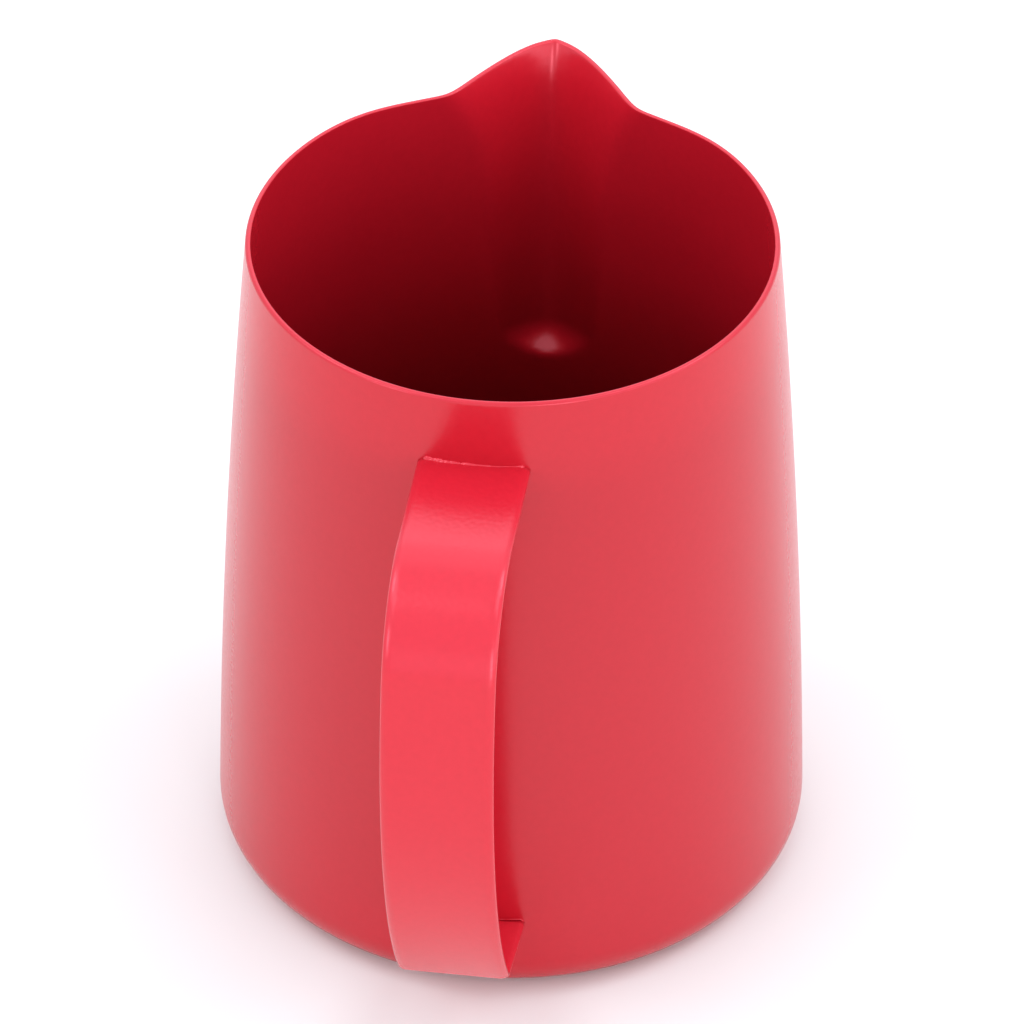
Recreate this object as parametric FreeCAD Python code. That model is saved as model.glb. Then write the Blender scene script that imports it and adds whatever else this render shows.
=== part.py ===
import FreeCAD, Part
import math
import os

# Milk frothing pitcher: a drawn sheet-metal body with a pressed pouring spout, and one bent strap
# handle welded on at both ends. It stands on z = 0 and its axis is Z. The spout points along +X and
# the handle along -X. Lengths are in millimetres and angles in degrees.

# Body
height = 108.0            # from the base to the rim
rim_radius = 39.1         # outside
foot_radius = 44.6        # outside, where the wall's line meets the base plane
wall_bow = 0.9            # how far the wall stands outside a straight cone at half height
corner_radius = 7.0       # between the wall and the base, outside
sheet = 0.8               # thickness of the metal
rim_outer_round = 0.45    # rounding of the rim's outer edge
rim_inner_round = 0.2     # rounding of its inner edge

# Spout, pressed outwards from the wall
spout_depth = 7.1         # of the channel at the rim, without the lip
spout_taper = 0.078       # depth lost for each millimetre below the rim
lip_flare = 4.8           # extra reach of the lip at the rim
lip_height = 7.0          # height over which the lip's flare fades by a factor of e
rim_valley = 5.0          # roundness of the channel's floor at the rim
rim_slope = 1.2           # steepness of the channel's sides at the rim
end_valley = 6.0          # roundness of the channel's floor at its lower end
end_slope = 1.0           # steepness of the channel's sides at its lower end
channel_length = 48.2     # from the rim down to where the rounded end begins
end_radius = 4.5          # of the channel's rounded lower end
rim_blend = 2.5           # width of the soft blend from the channel into the wall, at the rim
end_blend = 1.2           # and at its lower end
shoulder_pull = 1.3       # how far the pressing draws the rim in beside the spout
shoulder_angle = 26.0     # where it is drawn in most, to each side of the spout
shoulder_spread = 10.0    # angle over which the pull fades
shoulder_fade = 22.0      # height over which the pull fades
spout_turn = 0.8          # how far round the spout sits from the point opposite the handle

# Handle strap, given by its outer surface from the upper joint round to the lower one
strap_width = 16.4
strap_thickness = 1.6
strap_edge_round = 0.7
strap_start = 37.0        # the strap is first made this deep into the body, then cut to the wall
strap_top = 97.3          # height of the strap's upper face at its start
strap_rise = 1.4          # slope of the straight upper leg, up from the wall
upper_reach = 58.0        # of the upper leg, measured from the axis to the start of the bend
upper_bend = (17.25, 78.9)    # radius and turn
grip_bend = (80.6, 48.9)
lower_bend = (4.4, 39.1)
lower_leg = 17.5          # straight lower leg, before it is cut to the wall

# Weld beads, laid in the corners between the strap's two faces and the wall
bead_radius = 0.7
bead_margin = 0.7         # bare metal from the end of a bead to the strap's edge
joint_slice = 0.5         # thickness of the slice that finds the joints' heights

# Fineness of the body's skins
turns = 72                # points round each section
crowding = 0.75           # how much closer together the points are at the spout
corner_steps = 6
wall_steps = 16           # between the corner and the lower end of the spout
spout_steps = 44          # from there to the rim
spout_foot = height - channel_length - 2 * end_radius
core_steps = 6            # spans of the plain wall's line


def vector(x, y, z):
    return FreeCAD.Vector(x, y, z)


def wall_radius(z):
    """Outside radius of the wall at a height, without corner and spout."""
    below_rim = (height - z) / height
    cone = rim_radius + (foot_radius - rim_radius) * below_rim
    return cone + 4 * wall_bow * below_rim * (1 - below_rim)


def corner_inset(z, bend, floor):
    """How far a corner of this bend radius, standing on this floor, draws the wall in at a height."""
    above_floor = z - floor
    if above_floor >= bend:
        return 0.0
    return bend - math.sqrt(bend ** 2 - (bend - above_floor) ** 2)


def soft_positive(value, blend):
    """The larger of value and 0, with the kink between them rounded over plus and minus blend."""
    nearness = max(blend - abs(value), 0) / blend
    return max(value, 0) + nearness ** 3 * blend / 6


def spout_push(y, z):
    """How far the pressing moves the wall along +X at a distance from the spout's middle."""
    drop = height - z
    floor = spout_depth - spout_taper * drop + lip_flare * math.exp(-drop / lip_height)
    way_down = min(max(drop / channel_length, 0), 1)
    valley = rim_valley + (end_valley - rim_valley) * way_down
    slope = rim_slope + (end_slope - rim_slope) * way_down
    side = slope * (math.hypot(y, valley) - valley)
    blend = rim_blend + (end_blend - rim_blend) * way_down
    past_end = max(drop - channel_length, 0)
    return soft_positive(floor - side - past_end ** 2 / (2 * end_radius), blend)


def shoulder_inset(angle, z):
    """How far the wall is drawn in beside the spout, at an angle from the spout in degrees."""
    away = (abs(angle) - shoulder_angle) / shoulder_spread
    return shoulder_pull * math.exp(-away ** 2 / 2 - ((height - z) / shoulder_fade) ** 2)


def outside_point(turn, z):
    """A point of the outside skin. turn runs from -pi to pi, and 0 is the middle of the spout."""
    angle = turn - crowding * math.sin(turn)
    radius = wall_radius(z) - corner_inset(z, corner_radius, 0)
    radius -= shoulder_inset(math.degrees(angle), z)
    x, y = radius * math.cos(angle), radius * math.sin(angle)
    if x > 0:
        x += spout_push(y, z)
    return vector(x, y, z)


def inside_point(turn, z):
    """A point of the inside skin, one sheet thickness in from the outside skin."""
    if z < corner_radius:
        angle = turn - crowding * math.sin(turn)
        radius = wall_radius(z) - sheet - corner_inset(z, corner_radius - sheet, sheet)
        return vector(radius * math.cos(angle), radius * math.sin(angle), z)
    step = 1e-3
    along = outside_point(turn + step, z) - outside_point(turn - step, z)
    upward = outside_point(turn, z + step) - outside_point(turn, z - step)
    normal = along.cross(upward).normalize()
    level = vector(normal.x, normal.y, 0)
    return outside_point(turn, z) - level * (sheet / level.Length ** 2)


def section(skin_point, z):
    """One closed level outline of a skin."""
    points = [skin_point(2 * math.pi * i / turns, z) for i in range(turns)]
    curve = Part.BSplineCurve()
    curve.interpolate(Points=points, PeriodicFlag=True, Parameters=[i / turns for i in range(turns + 1)])
    return Part.Wire([curve.toShape()])


def section_heights(floor):
    """Heights of the outlines, from a floor to the rim: closest round the corner and on the spout."""
    bend = corner_radius - floor
    quarter = [math.radians(90 * i / corner_steps) for i in range(corner_steps)]
    heights = [floor + bend * (1 - math.cos(angle)) for angle in quarter]
    plain = (spout_foot - corner_radius) / wall_steps
    heights += [corner_radius + plain * i for i in range(wall_steps)]
    fine = (height - spout_foot) / spout_steps
    heights += [spout_foot + fine * i for i in range(spout_steps + 1)]
    return heights


def rim_edges(shape):
    """The edges that lie in the plane of the rim, the innermost first."""
    edges = [edge for edge in shape.Edges if abs(edge.BoundBox.ZMin - height) < 1e-3]
    return sorted(edges, key=lambda edge: edge.BoundBox.XMax)


def pitcher_body():
    filled = Part.makeLoft([section(outside_point, z) for z in section_heights(0)], True)
    filled = filled.makeFillet(rim_outer_round, rim_edges(filled))
    heights = section_heights(sheet) + [height + sheet]
    hollow = Part.makeLoft([section(inside_point, z) for z in heights], True)
    shell = filled.cut(hollow)
    shell = shell.makeFillet(rim_inner_round, rim_edges(shell)[:1])
    shell.rotate(vector(0, 0, 0), vector(0, 0, 1), spout_turn)
    return shell


def round_core():
    """The space inside the plain round wall, which the strap and the beads are cut back to."""
    levels = [height * i / core_steps for i in range(core_steps + 1)]
    wall = Part.BSplineCurve()
    wall.interpolate([vector(wall_radius(z), 0, z) for z in levels])
    edges = [wall.toShape(),
             Part.LineSegment(vector(rim_radius, 0, height), vector(0, 0, height)).toShape(),
             Part.LineSegment(vector(0, 0, height), vector(0, 0, 0)).toShape(),
             Part.LineSegment(vector(0, 0, 0), vector(foot_radius, 0, 0)).toShape()]
    half = Part.Face(Part.Wire(edges))
    core = half.revolve(vector(0, 0, 0), vector(0, 0, 1), 360)
    core.rotate(vector(0, 0, 0), vector(0, 0, 1), 90)
    return core


def strap_profile():
    """The closed side outline of the strap: a chain of tangent runs with an even thickness."""
    reach, z, heading = strap_start, strap_top, -math.radians(strap_rise)
    upper_leg = (upper_reach - strap_start) / math.cos(heading)
    runs = [(None, upper_leg), upper_bend, grip_bend, lower_bend, (None, lower_leg)]
    outer, inner, ends = [], [], []

    def face_points(reach, z, heading):
        """The path's point on the strap's outer face and the one across it on the inner face."""
        across = vector(math.sin(heading), 0, -math.cos(heading))
        start = vector(-reach, 0, z)
        return start, start + across * strap_thickness

    def follow(reach, z, heading, radius, turn):
        """Where a bend of this radius has got to after a turn."""
        after = heading + turn
        reach += radius * (math.sin(after) - math.sin(heading))
        z += radius * (math.cos(after) - math.cos(heading))
        return reach, z, after

    ends.append(face_points(reach, z, heading))
    for radius, amount in runs:
        before = face_points(reach, z, heading)
        if radius is None:
            reach += amount * math.cos(heading)
            z -= amount * math.sin(heading)
            after = face_points(reach, z, heading)
            outer.append(Part.LineSegment(before[0], after[0]).toShape())
            inner.append(Part.LineSegment(before[1], after[1]).toShape())
        else:
            turn = math.radians(amount)
            middle = face_points(*follow(reach, z, heading, radius, turn / 2))
            reach, z, heading = follow(reach, z, heading, radius, turn)
            after = face_points(reach, z, heading)
            outer.append(Part.Arc(before[0], middle[0], after[0]).toShape())
            inner.append(Part.Arc(before[1], middle[1], after[1]).toShape())
    ends.append(face_points(reach, z, heading))
    caps = [Part.LineSegment(*pair).toShape() for pair in ends]
    return Part.Wire(Part.__sortEdges__(outer + inner + caps))


def handle_strap(core):
    side = Part.Face(strap_profile())
    side.translate(vector(0, -strap_width / 2, 0))
    strap = side.extrude(vector(0, strap_width, 0))
    long_edges = [edge for edge in strap.Edges
                  if abs(edge.BoundBox.YLength) < 1e-6 and edge.Length > 1.5 * strap_thickness]
    return strap.makeFillet(strap_edge_round, long_edges).cut(core)


def weld_beads(core, strap, heights):
    """A bead along the wall at each height, filling the corner between the wall and the strap."""
    beads = []
    for z in heights:
        radius = wall_radius(z)
        half_angle = math.degrees(math.asin((strap_width / 2 - bead_margin) / radius))
        circle = Part.makeCircle(bead_radius, vector(-radius, 0, z), vector(0, 1, 0))
        disc = Part.Face(Part.Wire([circle]))
        disc.rotate(vector(0, 0, 0), vector(0, 0, 1), -half_angle)
        ring = disc.revolve(vector(0, 0, 0), vector(0, 0, 1), 2 * half_angle)
        beads += ring.cut(core).cut(strap).Solids
    return Part.makeCompound(beads)


def joint_heights(strap, low, high):
    """Heights of the strap's two faces at the wall, in the middle of the joint between two levels."""
    slab = Part.makeBox(100, joint_slice, high - low, vector(-100, -joint_slice / 2, low))
    corners = [vertex.Point for vertex in strap.common(slab).Vertexes]
    at_wall = [point.z for point in corners if -point.x < wall_radius(point.z) + joint_slice]
    return min(at_wall), max(at_wall)


core = round_core()
strap = handle_strap(core)
nodes = {
    "pitcher_body": pitcher_body(),
    "handle_strap": strap,
    "upper_weld_beads": weld_beads(core, strap, joint_heights(strap, height / 2, height)),
    "lower_weld_beads": weld_beads(core, strap, joint_heights(strap, 0, height / 2)),
}

os.makedirs("parts", exist_ok=True)
for name, shape in nodes.items():
    shape.exportStep("parts/" + name + ".step")
    box = shape.optimalBoundingBox()
    print(name, len(shape.Solids), "solids, valid", shape.isValid(), "volume", round(shape.Volume, 1),
          "x", round(box.XMin, 2), round(box.XMax, 2), "y", round(box.YMin, 2), round(box.YMax, 2),
          "z", round(box.ZMin, 2), round(box.ZMax, 2))
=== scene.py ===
import math

import bmesh
import bpy
import numpy as np
from mathutils import Matrix, Vector, noise


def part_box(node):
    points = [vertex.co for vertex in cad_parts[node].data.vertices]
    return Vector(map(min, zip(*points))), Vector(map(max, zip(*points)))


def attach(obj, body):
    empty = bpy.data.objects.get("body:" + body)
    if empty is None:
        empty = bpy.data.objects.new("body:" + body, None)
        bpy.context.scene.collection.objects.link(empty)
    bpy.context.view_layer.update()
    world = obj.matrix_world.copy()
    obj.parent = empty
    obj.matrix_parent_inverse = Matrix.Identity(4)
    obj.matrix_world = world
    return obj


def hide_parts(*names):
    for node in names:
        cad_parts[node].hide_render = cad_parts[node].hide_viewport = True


# A milk frothing pitcher: a drawn body with a pressed spout, a strap handle and four weld beads, all
# under one satin red coating. The body's axis is Z, the spout points along +X and the handle along -X.
# Lengths are in metres. Angles are in degrees, unless a function says radians.

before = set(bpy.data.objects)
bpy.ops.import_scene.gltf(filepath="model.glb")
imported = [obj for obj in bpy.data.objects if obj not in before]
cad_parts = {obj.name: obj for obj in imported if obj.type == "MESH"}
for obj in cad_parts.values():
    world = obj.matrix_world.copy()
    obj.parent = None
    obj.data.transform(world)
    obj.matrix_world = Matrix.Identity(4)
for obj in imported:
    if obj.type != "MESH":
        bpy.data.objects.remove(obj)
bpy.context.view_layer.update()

# The one rigid body, on which every piece rides
BODY = "root"

# Body, the same shape as the frame's pitcher_body
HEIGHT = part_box("pitcher_body")[1].z
RIM_RADIUS = 0.0391
FOOT_RADIUS = 0.0446
WALL_BOW = 0.0009
CORNER_RADIUS = 0.0070
SHEET = 0.0008
RIM_OUTER_ROUND = 0.00045
RIM_INNER_ROUND = 0.00020

# Spout, pressed outwards from the wall as a trough. Its floor is deepest at the rim, where it flares into
# the lip, and ends in a bend. The trough's section is a rounded valley between straight sides. Beside it
# the wall is drawn in to two shoulders.
SPOUT_DEPTH = 0.0071
SPOUT_TAPER = 0.078
LIP_FLARE = 0.0048
LIP_HEIGHT = 0.0070
RIM_VALLEY = 0.0050
RIM_SLOPE = 1.2
END_VALLEY = 0.0060
END_SLOPE = 1.0
CHANNEL_LENGTH = 0.0482
END_RADIUS = 0.0045
RIM_BLEND = 0.0025
END_BLEND = 0.0012
CREASE_DEPTH = 0.00032
CREASE_WIDTH = 0.0013
CREASE_FADE = 0.014
SHOULDER_PULL = 0.0013
SHOULDER_ANGLE = 26.0
SHOULDER_SPREAD = 10.0
SHOULDER_FADE = 0.022
SPOUT_TURN = 0.8

# Handle strap, given by its outer surface from the upper joint round to the lower one. Each bend is a
# radius and how far it turns.
STRAP_WIDTH = 0.0164
STRAP_THICKNESS = 0.0016
STRAP_EDGE_ROUND = 0.00072
STRAP_FACE_ROUND = 0.0015
STRAP_START = 0.0370
STRAP_TOP = 0.0973
STRAP_RISE = 1.4
UPPER_REACH = 0.0580
BENDS = ((0.01725, 78.9), (0.0806, 48.9), (0.0044, 39.1))
LOWER_LEG = 0.0175
STRAP_EMBED = 0.3 * SHEET

# Weld beads: their radius at shares of their length, from the end towards -Y. Of each joint's two beads
# the camera sees the higher one. At the lower joint that one turns down round the strap's edges.
BEAD_MARGIN = 0.0008
BEAD_WRAP = 0.0011
SEEN_UPPER_BEAD = ((0.0, 0.00034), (0.04, 0.00034), (0.09, 0.00011), (0.22, 0.00012), (0.35, 0.00020),
                   (0.48, 0.00020), (0.55, 0.00038), (0.62, 0.00014), (0.68, 0.00042), (1.0, 0.00052))
SEEN_LOWER_BEAD = ((0.0, 0.00011), (1.0, 0.00009))
HIDDEN_BEAD = ((0.0, 0.00034), (1.0, 0.00034))
RIPPLE = 0.35
RIPPLES_PER_METRE = 1500
LUMP = 0.45
LUMPS_PER_METRE = 420
LUMP_SHIFT = 0.3
BLUNT_END = 0.02

# Each joint's beads, seen and hidden: their radii and a seed for their lumps
UPPER_BEADS = ((SEEN_UPPER_BEAD, 4.4), (HIDDEN_BEAD, 6.1))
LOWER_BEADS = ((SEEN_LOWER_BEAD, 1.7), (HIDDEN_BEAD, 8.2))

# Fineness of the meshes. The points round the body crowd together at the spout, and the slope of the
# body's skin is taken over DIFFERENCE.
TURNS = 288
CROWDING = 0.75
BASE_SHARES = (0.02, 0.2, 0.4, 0.6, 0.8, 0.95)
CORNER_STEPS = 12
WALL_RINGS = 16
SPOUT_RINGS = 90
OUTER_ROUND_RINGS = 10
INNER_ROUND_RINGS = 7
DIFFERENCE = 1e-5
STRAP_ROUND_STEPS = 12
STRAP_FACE_POINTS = 14
UPPER_LEG_STATIONS = 15
BEND_STEPS = (40, 60, 20)
LOWER_LEG_STATIONS = 12
BEAD_POINTS = 120
BEAD_CORNER_POINTS = 9
BEAD_TAIL_POINTS = 8
BEAD_ROUND_POINTS = 20

# Coat: base colours, how far the pigment varies either way, and how fine pigment and orange peel are
BODY_COLOUR = (0.485, 0.0083, 0.0185)
# Painted light: the handle's and the weld beads' reds are the body's one red painted lighter, for the light
# they catch.
HANDLE_PAINTED_LIGHT_COLOUR = (0.600, 0.0130, 0.0275)
WELD_PAINTED_LIGHT_COLOUR = (0.60, 0.012, 0.026)
PIGMENT_SPREAD = 0.025
PIGMENT_GRAIN = 900
PEEL_GRAIN = 1300
PEEL_HEIGHT = 0.00003

# Painted shade and light: factors on the body's pigment at depths below the rim. The colour is painted
# lighter near the rim, darker deep inside, and lighter on inside faces that look up, where light from above
# falls.
OUTSIDE_PAINTED_SHADING = ((0.0, 1.10), (0.008, 1.08), (0.016, 1.0))
INSIDE_PAINTED_SHADING = ((0.0, 1.17), (0.016, 1.15), (0.032, 0.99), (0.045, 0.68), (0.060, 0.42), (0.090, 0.45),
               (0.107, 0.65))
PAINTED_TOP_LIGHT_GAIN = ((0.034, 0.0), (0.044, 1.2))

# Camera: far away behind a long lens, behind the handle and above the rim
CAMERA_AZIMUTH = -82.0
CAMERA_ELEVATION = 38.5
CAMERA_DISTANCE = 1.400
CAMERA_ROLL = 0.16
CAMERA_TARGET = Vector((0.0, 0.0, 0.0573))
LENS = 329.4
SENSOR_WIDTH = 36.0

# Lights: soft boxes on a dome round the object, all a little cool. Each has a name, an azimuth from the
# camera's to the right, an elevation, a width, a height and a brightness.
LIGHT_DISTANCE = 2.0
LIGHT_COLOUR = (0.98, 0.98, 1.15)
SKY_BRIGHTNESS = 1.2
SOFTBOXES = (
    ("key", 20, 12, 0.56, 0.85, 3.6),
    ("front", 0, 12, 1.40, 0.70, 0.35),
    ("front_left", -50, 22, 0.50, 0.60, 4.0),
    ("front_right", 60, 12, 1.65, 0.85, 1.0),
    ("high_left", -100, 50, 0.60, 0.60, 2.9),
    ("high_right", 100, 50, 0.60, 0.60, 3.5),
    ("top_left", -75, 62, 1.40, 0.80, 1.3),
    ("top_right", 75, 62, 1.40, 0.80, 1.6),
    ("rear", 180, 37, 1.40, 0.87, 0.65),
    ("high_rear", 180, 62, 1.60, 0.87, 0.4),
)

# Floor
FLOOR_HALF_SIZE = 6.0
FLOOR_COLOUR = (0.78, 0.80, 0.71)


def profile_value(profile, place):
    """Value at a place, or at many, of a profile that is given as (place, value) pairs."""
    return np.interp(place, *zip(*profile))


def wall_radius(z):
    """Outside radius of the wall at a height, without corner and spout."""
    below_rim = (HEIGHT - z) / HEIGHT
    cone = RIM_RADIUS + (FOOT_RADIUS - RIM_RADIUS) * below_rim
    return cone + 4 * WALL_BOW * below_rim * (1 - below_rim)


def corner_inset(z, bend, floor):
    """How far a corner of this bend radius, standing on this floor, draws the wall in at a height."""
    above_floor = z - floor
    if above_floor >= bend:
        return 0.0
    return bend - math.sqrt(bend ** 2 - (bend - above_floor) ** 2)


def corner_heights(bend, floor):
    """Heights of the rings round a corner, from its floor up."""
    return [floor + bend * (1 - math.cos(math.radians(90 * step / CORNER_STEPS)))
            for step in range(CORNER_STEPS + 1)]


def soft_positive(value, blend):
    """The larger of value and 0, with the kink between them rounded over plus and minus blend."""
    nearness = np.maximum(blend - np.abs(value), 0) / blend
    return np.maximum(value, 0) + nearness ** 3 * blend / 6


def spout_push(y, z):
    """How far the pressing moves the wall along +X at a distance from the spout's middle."""
    drop = HEIGHT - z
    floor = SPOUT_DEPTH - SPOUT_TAPER * drop + LIP_FLARE * math.exp(-drop / LIP_HEIGHT)
    way_down = min(max(drop / CHANNEL_LENGTH, 0), 1)
    valley = RIM_VALLEY + (END_VALLEY - RIM_VALLEY) * way_down
    slope = RIM_SLOPE + (END_SLOPE - RIM_SLOPE) * way_down
    side = slope * (np.hypot(y, valley) - valley)
    blend = RIM_BLEND + (END_BLEND - RIM_BLEND) * way_down
    past_end = max(drop - CHANNEL_LENGTH, 0)
    pressed = soft_positive(floor - side - past_end ** 2 / (2 * END_RADIUS), blend)
    return pressed + CREASE_DEPTH * np.exp(-(y / CREASE_WIDTH) ** 2 - (drop / CREASE_FADE) ** 2)


def shoulder_inset(angle, z):
    """How far the wall is drawn in beside the spout, at angles from the spout in radians."""
    from_spout = np.abs(np.degrees((angle + math.pi) % (2 * math.pi) - math.pi))
    away = (from_spout - SHOULDER_ANGLE) / SHOULDER_SPREAD
    return SHOULDER_PULL * np.exp(-away ** 2 / 2 - ((HEIGHT - z) / SHOULDER_FADE) ** 2)


def crowded(turns):
    """Even turns round the body in radians, moved closer together at the spout."""
    return turns - CROWDING * np.sin(turns)


def outside_ring(turns, z):
    """Points of the outside skin at one height."""
    angle = crowded(turns)
    radius = wall_radius(z) - corner_inset(z, CORNER_RADIUS, 0) - shoulder_inset(angle, z)
    x, y = radius * np.cos(angle), radius * np.sin(angle)
    x = np.where(x > 0, x + spout_push(y, z), x)
    return np.stack([x, y, np.full_like(x, z)], 1)


def skin_ring(turns, z, inset):
    """Points of the skin that lies this far inside the outside skin, at one height."""
    along = outside_ring(turns + DIFFERENCE, z) - outside_ring(turns - DIFFERENCE, z)
    upward = outside_ring(turns, z + DIFFERENCE) - outside_ring(turns, z - DIFFERENCE)
    normal = np.cross(along, upward)
    normal /= np.linalg.norm(normal, axis=1)[:, None]
    level = normal * (1, 1, 0)
    return outside_ring(turns, z) - level * (inset / (level ** 2).sum(1))[:, None]


def round_ring(turns, radius, z):
    """Points of a plain circle at one height."""
    angle = crowded(turns)
    return np.stack([radius * np.cos(angle), radius * np.sin(angle), np.full_like(turns, z)], 1)


def wall_heights():
    """Heights of the rings between the corner and the rim's rounding: closest together on the spout."""
    spout_foot = HEIGHT - CHANNEL_LENGTH - 2 * END_RADIUS
    plain = list(np.linspace(CORNER_RADIUS, spout_foot, WALL_RINGS)[1:])
    fine = list(np.linspace(spout_foot, HEIGHT - 1.5 * RIM_OUTER_ROUND, SPOUT_RINGS)[1:])
    return plain + fine


def body_rings():
    """Every ring of the body, from the middle of the underside round the rim to the middle of the floor."""
    turns = np.linspace(0, 2 * math.pi, TURNS, endpoint=False)
    flat = wall_radius(0) - CORNER_RADIUS
    wall = wall_heights()
    rings = [round_ring(turns, flat * share, 0) for share in BASE_SHARES]
    for z in corner_heights(CORNER_RADIUS, 0):
        rings.append(round_ring(turns, wall_radius(z) - corner_inset(z, CORNER_RADIUS, 0), z))
    rings += [outside_ring(turns, z) for z in wall]
    for lift in np.radians(np.linspace(0, 90, OUTER_ROUND_RINGS)):
        z = HEIGHT - RIM_OUTER_ROUND * (1 - math.sin(lift))
        rings.append(skin_ring(turns, z, RIM_OUTER_ROUND * (1 - math.cos(lift))))
    for lift in np.radians(np.linspace(90, 0, INNER_ROUND_RINGS)):
        z = HEIGHT - RIM_INNER_ROUND * (1 - math.sin(lift))
        rings.append(skin_ring(turns, z, SHEET - RIM_INNER_ROUND * (1 - math.cos(lift))))
    rings += [skin_ring(turns, z, SHEET) for z in reversed(wall)]
    bend = CORNER_RADIUS - SHEET
    for z in reversed(corner_heights(bend, SHEET)):
        rings.append(round_ring(turns, wall_radius(z) - SHEET - corner_inset(z, bend, SHEET), z))
    rings += [round_ring(turns, flat * share, SHEET) for share in reversed(BASE_SHARES)]
    turn = np.array(Matrix.Rotation(math.radians(SPOUT_TURN), 3, "Z"))
    return [ring @ turn.T for ring in rings]


def mesh_object(name, points, faces, smooth=True):
    """A mesh object with these points and faces, linked to the scene."""
    mesh = bpy.data.meshes.new(name)
    mesh.from_pydata([tuple(map(float, p)) for p in points], [], faces)
    mesh.validate()
    for polygon in mesh.polygons:
        polygon.use_smooth = smooth
    thing = bpy.data.objects.new(name, mesh)
    bpy.context.scene.collection.objects.link(thing)
    return thing


def skin_of_rings(name, rings):
    """A closed mesh through rings of equal length, with a fan to a middle point at each end."""
    count = len(rings[0])
    last_row = (len(rings) - 1) * count
    first_middle = len(rings) * count
    last_middle = first_middle + 1
    points = np.concatenate([*rings, [rings[0].mean(0), rings[-1].mean(0)]])
    faces = []
    for low in range(0, last_row, count):
        high = low + count
        for i in range(count):
            j = (i + 1) % count
            faces.append((low + i, low + j, high + j, high + i))
    for i in range(count):
        j = (i + 1) % count
        faces.append((first_middle, j, i))
        faces.append((last_middle, last_row + i, last_row + j))
    return mesh_object(name, points, faces)


def painted_shading_factor(depth, inside, looking_up):
    """Painted shade and light: pigment factor at a depth below the rim, on a face that looks up by this
    share.
    """
    if not inside:
        return profile_value(OUTSIDE_PAINTED_SHADING, depth)
    painted_top_light = 1 + profile_value(PAINTED_TOP_LIGHT_GAIN, depth) * looking_up
    return profile_value(INSIDE_PAINTED_SHADING, depth) * painted_top_light


def make_body():
    """The body, with a mesh attribute that paints shade and light into its pigment at each point."""
    rings = body_rings()
    body = skin_of_rings("pitcher_shell", rings)
    rim = max(range(len(rings)), key=lambda number: rings[number][0, 2])
    first_inside = (rim + 1) * TURNS
    after_rings = len(rings) * TURNS
    floor_middle = after_rings + 1
    painted_shading = []
    for vertex in body.data.vertices:
        inside = first_inside <= vertex.index < after_rings or vertex.index == floor_middle
        painted_shading.append(painted_shading_factor(HEIGHT - vertex.co.z, inside, max(vertex.normal.z, 0)))
    body.data.attributes.new("painted_shading", "FLOAT", "POINT").data.foreach_set("value", painted_shading)
    return body


def strap_stations():
    """Stations along the strap's outer surface, as (reach from the axis, height, heading).

    The heading is in radians below level.
    """
    stations = []
    heading = -math.radians(STRAP_RISE)
    for reach in np.linspace(STRAP_START, UPPER_REACH, UPPER_LEG_STATIONS):
        z = STRAP_TOP - (reach - STRAP_START) * math.tan(heading)
        stations.append((reach, z, heading))
    for (radius, turn), steps in zip(BENDS, BEND_STEPS):
        reach, z, begin = stations.pop()
        for step in range(steps + 1):
            heading = begin + math.radians(turn) * step / steps
            at_reach = reach + radius * (math.sin(heading) - math.sin(begin))
            at_z = z + radius * (math.cos(heading) - math.cos(begin))
            stations.append((at_reach, at_z, heading))
    reach, z, heading = stations.pop()
    for run in np.linspace(0, LOWER_LEG, LOWER_LEG_STATIONS):
        stations.append((reach + run * math.cos(heading), z - run * math.sin(heading), heading))
    return stations


def strap_section():
    """The strap's cross-section, as (across the width, depth below the outer surface).

    The outer face's corners are rounded further across the face than down the edge.
    """
    half, thick, edge, face = STRAP_WIDTH / 2, STRAP_THICKNESS, STRAP_EDGE_ROUND, STRAP_FACE_ROUND
    corners = ((half - face, edge, face, 0), (half - edge, thick - edge, edge, 90),
               (edge - half, thick - edge, edge, 180), (face - half, edge, face, 270))
    inner_face = [(x, thick) for x in np.linspace(half - edge, edge - half, STRAP_FACE_POINTS)[1:-1]]
    outer_face = [(x, 0.0) for x in np.linspace(face - half, half - face, STRAP_FACE_POINTS)[1:-1]]
    rounds = []
    for across, depth, wide, begin in corners:
        turns = [math.radians(begin + 90 * step / STRAP_ROUND_STEPS) for step in range(STRAP_ROUND_STEPS + 1)]
        rounds.append([(across + wide * math.sin(turn), depth - edge * math.cos(turn)) for turn in turns])
    return rounds[0] + rounds[1] + inner_face + rounds[2] + rounds[3] + outer_face


def strap_rings():
    """The strap's cross-sections along its path. Its two ends stop a little way inside the wall's sheet."""
    section = strap_section()
    rings, buried = [], []
    for reach, z, heading in strap_stations():
        ring = np.array([(reach - depth * math.sin(heading), across, z - depth * math.cos(heading))
                         for across, depth in section])
        wall = np.sqrt(wall_radius(ring[:, 2]) ** 2 - ring[:, 1] ** 2) - STRAP_EMBED
        buried.append(bool((ring[:, 0] <= wall).all()))
        ring[:, 0] = np.maximum(ring[:, 0], wall)
        rings.append(ring * (-1, 1, 1))
    first = buried.index(False) - 1
    last = len(buried) - buried[::-1].index(False)
    return rings[first:last + 1]


def joint_heights(lower):
    """Heights of the strap's outer and inner face where they meet the wall."""
    reach, z, heading = strap_stations()[-LOWER_LEG_STATIONS if lower else 0]
    outer = z - (wall_radius(z) - reach) * math.tan(heading)
    return outer, outer - STRAP_THICKNESS / math.cos(heading)


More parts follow.
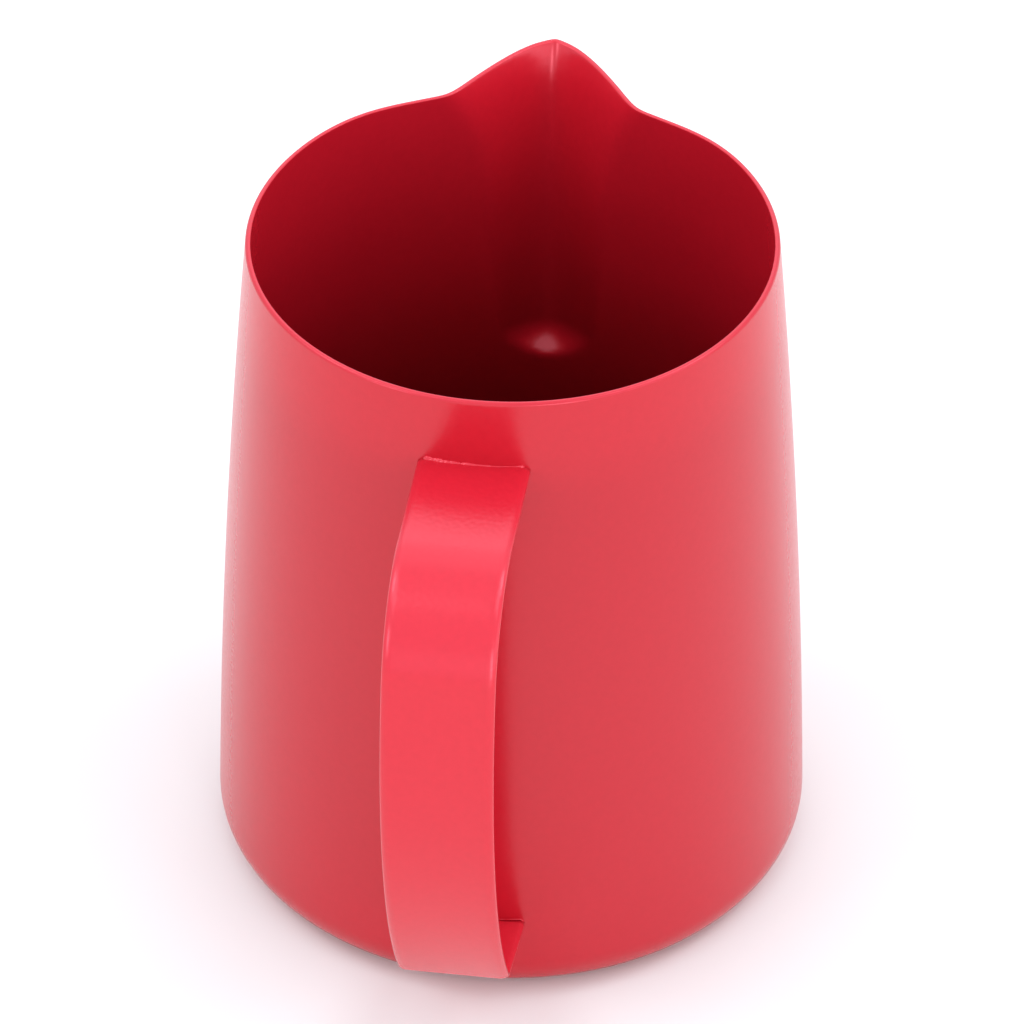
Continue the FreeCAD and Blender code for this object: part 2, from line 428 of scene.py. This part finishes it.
def bead_path(z, wrap):
    """Points along the wall over the strap's width, turning down round its edges where it wraps."""
    half = STRAP_WIDTH / 2 - BEAD_MARGIN
    level = [(across, z) for across in np.linspace(-half, half, BEAD_POINTS)]
    if not wrap:
        return level
    bend = 0.5 * wrap
    end = [(half + bend * math.sin(turn), z - bend * (1 - math.cos(turn)))
           for turn in np.radians(np.linspace(10, 90, BEAD_CORNER_POINTS))]
    end += [(half + bend, z - bend - run) for run in np.linspace(0, wrap - bend, BEAD_TAIL_POINTS)[1:]]
    mirrored = [(-across, at_z) for across, at_z in reversed(end)]
    return mirrored + level + end


def make_bead(path, radii, seed):
    """Rings of one weld bead along a path on the wall: lumpy, with ripples, and round at its ends."""
    path = np.array(path)
    steps = np.linalg.norm(np.diff(path, axis=0), axis=1)
    along = np.concatenate([[0], np.cumsum(steps)])
    from_end = np.minimum(along, along[-1] - along)
    plain = profile_value(radii, along / along[-1])
    turns = np.linspace(0, 2 * math.pi, BEAD_ROUND_POINTS, endpoint=False)[:, None]
    rings = []
    for i, (across, z) in enumerate(path):
        ripple = noise.noise(Vector((along[i] * RIPPLES_PER_METRE, seed, 0)))
        lump = noise.noise(Vector((along[i] * LUMPS_PER_METRE, seed, 5)))
        radius = plain[i] * (1 + RIPPLE * ripple + LUMP * lump)
        if from_end[i] < radius:
            radius *= math.sqrt(min(1, BLUNT_END + from_end[i] / radius))
        z += LUMP_SHIFT * plain[i] * lump
        angle = math.asin(across / wall_radius(z))
        outward = np.array((-math.cos(angle), math.sin(angle), 0))
        centre = outward * wall_radius(z) + (0, 0, z)
        before, after = path[max(i - 1, 0)], path[min(i + 1, len(path) - 1)]
        heading = np.array((0, after[0] - before[0], after[1] - before[1]))
        side = np.cross(heading / np.linalg.norm(heading), outward)
        side /= np.linalg.norm(side)
        rings.append(centre + radius * (np.cos(turns) * outward + np.sin(turns) * side))
    return rings


def make_welds(name, lower):
    """The two beads of one joint, one on each face of the strap, as one object."""
    (seen, seen_seed), (hidden, hidden_seed) = LOWER_BEADS if lower else UPPER_BEADS
    bottom, top = sorted(joint_heights(lower))
    wrap = BEAD_WRAP if lower else 0
    welds = skin_of_rings(name, make_bead(bead_path(top, wrap), seen, seen_seed))
    other = skin_of_rings(name + "_under", make_bead(bead_path(bottom, 0), hidden, hidden_seed))
    mesh = bmesh.new()
    mesh.from_mesh(welds.data)
    mesh.from_mesh(other.data)
    mesh.to_mesh(welds.data)
    mesh.free()
    bpy.data.objects.remove(other)
    return welds


def coating(name, seed, colour, gloss=(0.23, 0.27), peel=0.35, with_painted_shading=False):
    """Satin red coating with a slight metallic effect and a fine orange-peel surface.

    The gloss gives the lowest and highest roughness. With painted shading on, the pigment is scaled by a
    mesh attribute that paints shade and light into the colour.
    """
    material = bpy.data.materials.new(name)
    material.use_nodes = True
    nodes, links = material.node_tree.nodes, material.node_tree.links
    shader = nodes["Principled BSDF"]
    place = nodes.new("ShaderNodeTexCoord")
    shift = nodes.new("ShaderNodeMapping")
    shift.inputs["Location"].default_value = (seed, seed * 0.7, seed * 1.3)
    links.new(place.outputs["Object"], shift.inputs["Vector"])

    def noise_texture(scale, detail):
        node = nodes.new("ShaderNodeTexNoise")
        node.inputs["Scale"].default_value = scale
        node.inputs["Detail"].default_value = detail
        links.new(shift.outputs["Vector"], node.inputs["Vector"])
        return node.outputs["Fac"]

    def ramp(value, low, high):
        node = nodes.new("ShaderNodeValToRGB")
        ends = node.color_ramp.elements
        ends[0].position, ends[0].color = 0.3, (*low, 1)
        ends[1].position, ends[1].color = 0.7, (*high, 1)
        links.new(value, node.inputs["Fac"])
        return node.outputs["Color"]

    darker, lighter = [tuple(share * channel for channel in colour)
                       for share in (1 - PIGMENT_SPREAD, 1 + PIGMENT_SPREAD)]
    pigment = ramp(noise_texture(PIGMENT_GRAIN, 3), darker, lighter)
    # Painted shade and light: the pigment is scaled by a per-point factor stored on the mesh.
    if with_painted_shading:
        painted_shading = nodes.new("ShaderNodeAttribute")
        painted_shading.attribute_name = "painted_shading"
        shaded_pigment = nodes.new("ShaderNodeVectorMath")
        shaded_pigment.operation = "SCALE"
        links.new(pigment, shaded_pigment.inputs[0])
        links.new(painted_shading.outputs["Fac"], shaded_pigment.inputs["Scale"])
        pigment = shaded_pigment.outputs["Vector"]
    links.new(pigment, shader.inputs["Base Color"])
    roughness = ramp(noise_texture(PEEL_GRAIN, 2), (gloss[0],) * 3, (gloss[1],) * 3)
    links.new(roughness, shader.inputs["Roughness"])
    shader.inputs["Metallic"].default_value = 0.18
    shader.inputs["IOR"].default_value = 1.54
    bump = nodes.new("ShaderNodeBump")
    bump.inputs["Strength"].default_value = peel
    bump.inputs["Distance"].default_value = PEEL_HEIGHT
    links.new(noise_texture(PEEL_GRAIN, 0), bump.inputs["Height"])
    links.new(bump.outputs["Normal"], shader.inputs["Normal"])
    return material


def floor_material():
    """Matt and almost white."""
    material = bpy.data.materials.new("floor")
    material.use_nodes = True
    shader = material.node_tree.nodes["Principled BSDF"]
    shader.inputs["Base Color"].default_value = (*FLOOR_COLOUR, 1)
    shader.inputs["Roughness"].default_value = 0.9
    shader.inputs["Specular IOR Level"].default_value = 0.1
    return material


def make_floor():
    size = FLOOR_HALF_SIZE
    corners = [(-size, -size, 0), (size, -size, 0), (size, size, 0), (-size, size, 0)]
    floor = mesh_object("floor", corners, [(0, 1, 2, 3)], smooth=False)
    floor.data.materials.append(floor_material())


def direction(azimuth, elevation):
    """Unit vector from the object towards a camera or light at these degrees."""
    around, lift = math.radians(azimuth), math.radians(elevation)
    return Vector((math.sin(around) * math.cos(lift), -math.cos(around) * math.cos(lift), math.sin(lift)))


def make_camera():
    data = bpy.data.cameras.new("camera")
    data.lens = LENS
    data.sensor_width = SENSOR_WIDTH
    data.clip_start = 0.05
    data.clip_end = 50.0
    camera = bpy.data.objects.new("camera", data)
    back = direction(CAMERA_AZIMUTH, CAMERA_ELEVATION)
    right = Vector((0, 0, 1)).cross(back).normalized()
    up = back.cross(right)
    turn = Matrix((right, up, back)).transposed() @ Matrix.Rotation(math.radians(CAMERA_ROLL), 3, "Z")
    camera.matrix_world = Matrix.Translation(CAMERA_TARGET + back * CAMERA_DISTANCE) @ turn.to_4x4()
    bpy.context.scene.collection.objects.link(camera)
    bpy.context.scene.camera = camera


def softbox(name, azimuth, elevation, width, height, brightness):
    """A rectangular soft light that faces the object. Its brightness doesn't depend on its size."""
    towards = direction(CAMERA_AZIMUTH + azimuth, elevation)
    data = bpy.data.lights.new(name, "AREA")
    data.shape = "RECTANGLE"
    data.size, data.size_y = width, height
    data.energy = math.pi * width * height * brightness
    data.color = LIGHT_COLOUR
    light = bpy.data.objects.new(name, data)
    light.location = CAMERA_TARGET + towards * LIGHT_DISTANCE
    light.rotation_euler = towards.to_track_quat("Z", "Y").to_euler()
    bpy.context.scene.collection.objects.link(light)


def make_lights():
    world = bpy.data.worlds.new("studio")
    bpy.context.scene.world = world
    world.use_nodes = True
    sky = world.node_tree.nodes["Background"]
    sky.inputs["Color"].default_value = (*LIGHT_COLOUR, 1)
    sky.inputs["Strength"].default_value = SKY_BRIGHTNESS
    for box in SOFTBOXES:
        softbox(*box)


bpy.context.scene.view_settings.view_transform = "Standard"
make_camera()
make_lights()
make_floor()

body = make_body()
# The body's pigment carries painted shade and light from its mesh attribute.
body.data.materials.append(coating("body_coating", seed=0.0, colour=BODY_COLOUR, with_painted_shading=True))
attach(body, BODY)
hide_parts("pitcher_body")

strap = skin_of_rings("strap", strap_rings())
strap.data.materials.append(coating("handle_coating", seed=3.0, colour=HANDLE_PAINTED_LIGHT_COLOUR, peel=0.6))
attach(strap, BODY)
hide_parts("handle_strap")

weld_coating = coating("weld_coating", seed=7.0, colour=WELD_PAINTED_LIGHT_COLOUR, gloss=(0.12, 0.18))
for name, lower in (("upper_weld", False), ("lower_weld", True)):
    welds = make_welds(name, lower)
    welds.data.materials.append(weld_coating)
    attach(welds, BODY)
    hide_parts(name + "_beads")
